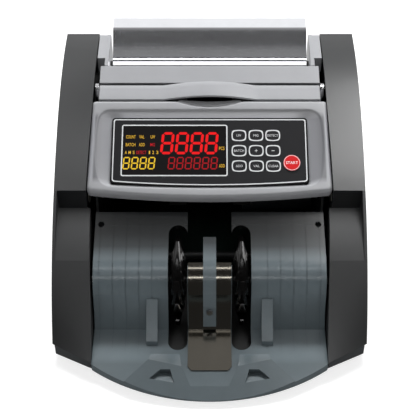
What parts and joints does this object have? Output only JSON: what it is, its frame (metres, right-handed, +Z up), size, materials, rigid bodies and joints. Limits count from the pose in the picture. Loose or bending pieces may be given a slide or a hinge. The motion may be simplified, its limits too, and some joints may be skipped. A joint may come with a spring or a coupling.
{
  "type": "banknote counting machine",
  "caption": "Front-stacking banknote counter with a sloped control panel, finger-wheel stacker, rear hopper with polished back plate, and hinged top flap.",
  "frame": {"origin": "on the table under the middle of the whole machine's footprint", "axes": "+X to the operator's right, -Y towards the operator, +Z up"},
  "size_m": [0.262, 0.3055, 0.1793],
  "materials": {
    "light_grey_plastic": "satin",
    "black_cover_plastic": "satin",
    "grey_base_plastic": "satin",
    "stacker_grey_plastic": "satin",
    "foot_rubber": "matte",
    "overlay_film": "semi-gloss",
    "window_acrylic": "gloss",
    "display_parts": "matte",
    "key_film": "semi-gloss",
    "start_red": "gloss",
    "polished_steel": "polished",
    "chrome_sheet": "mirror",
    "screw_steel": "satin",
    "wheel_black": "gloss",
    "frame_steel": "satin",
    "shaft_steel": "ground",
    "bearing_steel": "satin",
    "roller_rubber": "matte",
    "pulley_plastic": "satin",
    "belt_rubber": "matte",
    "motor_metal": "satin",
    "retard_plastic": "satin",
    "sensor_plastic": "satin",
    "circuit_board": "satin",
    "inlet_plastic": "satin",
    "rocker_plastic": "satin",
    "knob_plastic": "satin"
  },
  "bodies": {
    "machine_frame": {"base_tray": "grey_base_plastic", "centre_guide_strip": "stacker_grey_plastic", "control_panel_housing": "light_grey_plastic", "delivery_belt": "belt_rubber", "display_board": "display_parts", "display_window": "window_acrylic", "flap_hinge_pins": "frame_steel", "hopper_back_plate": "chrome_sheet", "hopper_floor": "stacker_grey_plastic", "hopper_front_cover": "light_grey_plastic", "idler_shaft": "shaft_steel", "left_frame_plate": "frame_steel", "left_hopper_wall": "light_grey_plastic", "left_side_cover": "black_cover_plastic", "main_belt": "belt_rubber", "main_board": "circuit_board", "main_motor": "motor_metal", "panel_overlay": "overlay_film", "pickup_belt": "belt_rubber", "power_inlet": "inlet_plastic", "rear_cover": "black_cover_plastic", "retard_block": "retard_plastic", "right_frame_plate": "frame_steel", "right_hopper_wall": "light_grey_plastic", "right_side_cover": "black_cover_plastic", "rubber_feet": "foot_rubber", "sensor_bar": "sensor_plastic", "shaft_bearings": "bearing_steel", "stacker_belt": "belt_rubber", "stacker_steel_plate": "polished_steel", "stacker_tray": "stacker_grey_plastic", "tie_rods": "frame_steel", "tray_screws": "screw_steel"},
    "stacker_wheel_set": {"stacker_shaft": "shaft_steel", "left_stacker_wheel": "wheel_black", "right_stacker_wheel": "wheel_black", "stacker_pulley": "pulley_plastic"},
    "feed_roller_set": {"feed_shaft": "shaft_steel", "feed_rollers": "roller_rubber", "feed_pulleys": "pulley_plastic"},
    "pickup_roller_set": {"pickup_shaft": "shaft_steel", "pickup_rollers": "roller_rubber"},
    "delivery_roller_set": {"delivery_shaft": "shaft_steel", "delivery_rollers": "roller_rubber", "delivery_pulleys": "pulley_plastic"},
    "idler_roller_set": {"idler_rollers": "roller_rubber"},
    "motor_rotor": {"motor_pulley": "pulley_plastic"},
    "hopper_flap": {"hopper_flap": "light_grey_plastic"},
    "power_rocker": {"power_rocker": "rocker_plastic"},
    "density_knob": {"density_knob": "knob_plastic"},
    "start_button": {"start_button": "start_red"},
    "key_add": {"key_add": "key_film"},
    "key_batch": {"key_batch": "key_film"},
    "key_clear": {"key_clear": "key_film"},
    "key_detect": {"key_detect": "key_film"},
    "key_magnetic": {"key_magnetic": "key_film"},
    "key_minus": {"key_minus": "key_film"},
    "key_plus": {"key_plus": "key_film"},
    "key_uv": {"key_uv": "key_film"},
    "key_value": {"key_value": "key_film"}
  },
  "joints": [
    {"name": "feed_roller_spin", "type": "hinge", "parent": "machine_frame", "child": "feed_roller_set", "pos_m": [0, 0.08, 0.118], "axis": [1, 0, 0], "continuous": true},
    {"name": "pickup_roller_spin", "type": "hinge", "parent": "machine_frame", "child": "pickup_roller_set", "pos_m": [0, 0.1075, 0.1358], "axis": [1, 0, 0], "continuous": true},
    {"name": "delivery_roller_spin", "type": "hinge", "parent": "machine_frame", "child": "delivery_roller_set", "pos_m": [0, 0.014, 0.084], "axis": [1, 0, 0], "continuous": true},
    {"name": "stacker_wheel_spin", "type": "hinge", "parent": "machine_frame", "child": "stacker_wheel_set", "pos_m": [0, -0.05725, 0.046], "axis": [1, 0, 0], "continuous": true},
    {"name": "motor_spin", "type": "hinge", "parent": "machine_frame", "child": "motor_rotor", "pos_m": [0, 0.052, 0.06], "axis": [1, 0, 0], "continuous": true},
    {"name": "idler_roller_spin", "type": "hinge", "parent": "machine_frame", "child": "idler_roller_set", "pos_m": [0, 0.014, 0.1018], "axis": [1, 0, 0], "continuous": true},
    {"name": "hopper_flap_hinge", "type": "hinge", "parent": "machine_frame", "child": "hopper_flap", "pos_m": [0, 0.0776, 0.1514], "axis": [-1, 0, 0], "range_deg": [0, 25]},
    {"name": "power_rocker_tilt", "type": "hinge", "parent": "machine_frame", "child": "power_rocker", "pos_m": [0.0815, 0.137, 0.036], "axis": [1, 0, 0], "range_deg": [0, 12]},
    {"name": "density_knob_turn", "type": "hinge", "parent": "machine_frame", "child": "density_knob", "pos_m": [-0.06, 0.142, 0.108], "axis": [0, 1, 0], "range_deg": [-135, 135]},
    {"name": "start_button_press", "type": "slide", "parent": "machine_frame", "child": "start_button", "axis": [0, 0.5036, -0.8639], "range_m": [0, 0.0009], "stiffness_N_per_m": 800},
    {"name": "key_add_press", "type": "slide", "parent": "machine_frame", "child": "key_add", "axis": [0, 0.5036, -0.8639], "range_m": [0, 0.0007], "stiffness_N_per_m": 800},
    {"name": "key_batch_press", "type": "slide", "parent": "machine_frame", "child": "key_batch", "axis": [0, 0.5036, -0.8639], "range_m": [0, 0.0007], "stiffness_N_per_m": 800},
    {"name": "key_clear_press", "type": "slide", "parent": "machine_frame", "child": "key_clear", "axis": [0, 0.5036, -0.8639], "range_m": [0, 0.0007], "stiffness_N_per_m": 800},
    {"name": "key_detect_press", "type": "slide", "parent": "machine_frame", "child": "key_detect", "axis": [0, 0.5036, -0.8639], "range_m": [0, 0.0007], "stiffness_N_per_m": 800},
    {"name": "key_magnetic_press", "type": "slide", "parent": "machine_frame", "child": "key_magnetic", "axis": [0, 0.5036, -0.8639], "range_m": [0, 0.0007], "stiffness_N_per_m": 800},
    {"name": "key_minus_press", "type": "slide", "parent": "machine_frame", "child": "key_minus", "axis": [0, 0.5036, -0.8639], "range_m": [0, 0.0007], "stiffness_N_per_m": 800},
    {"name": "key_plus_press", "type": "slide", "parent": "machine_frame", "child": "key_plus", "axis": [0, 0.5036, -0.8639], "range_m": [0, 0.0007], "stiffness_N_per_m": 800},
    {"name": "key_uv_press", "type": "slide", "parent": "machine_frame", "child": "key_uv", "axis": [0, 0.5036, -0.8639], "range_m": [0, 0.0007], "stiffness_N_per_m": 800},
    {"name": "key_value_press", "type": "slide", "parent": "machine_frame", "child": "key_value", "axis": [0, 0.5036, -0.8639], "range_m": [0, 0.0007], "stiffness_N_per_m": 800}
  ],
  "couplings": [
    {"joint": "pickup_roller_spin", "follows": "feed_roller_spin", "ratio": 1},
    {"joint": "delivery_roller_spin", "follows": "feed_roller_spin", "ratio": 1.2222},
    {"joint": "stacker_wheel_spin", "follows": "feed_roller_spin", "ratio": 0.88889},
    {"joint": "motor_spin", "follows": "feed_roller_spin", "ratio": 1.6667},
    {"joint": "idler_roller_spin", "follows": "feed_roller_spin", "ratio": -2.0684}
  ]
}
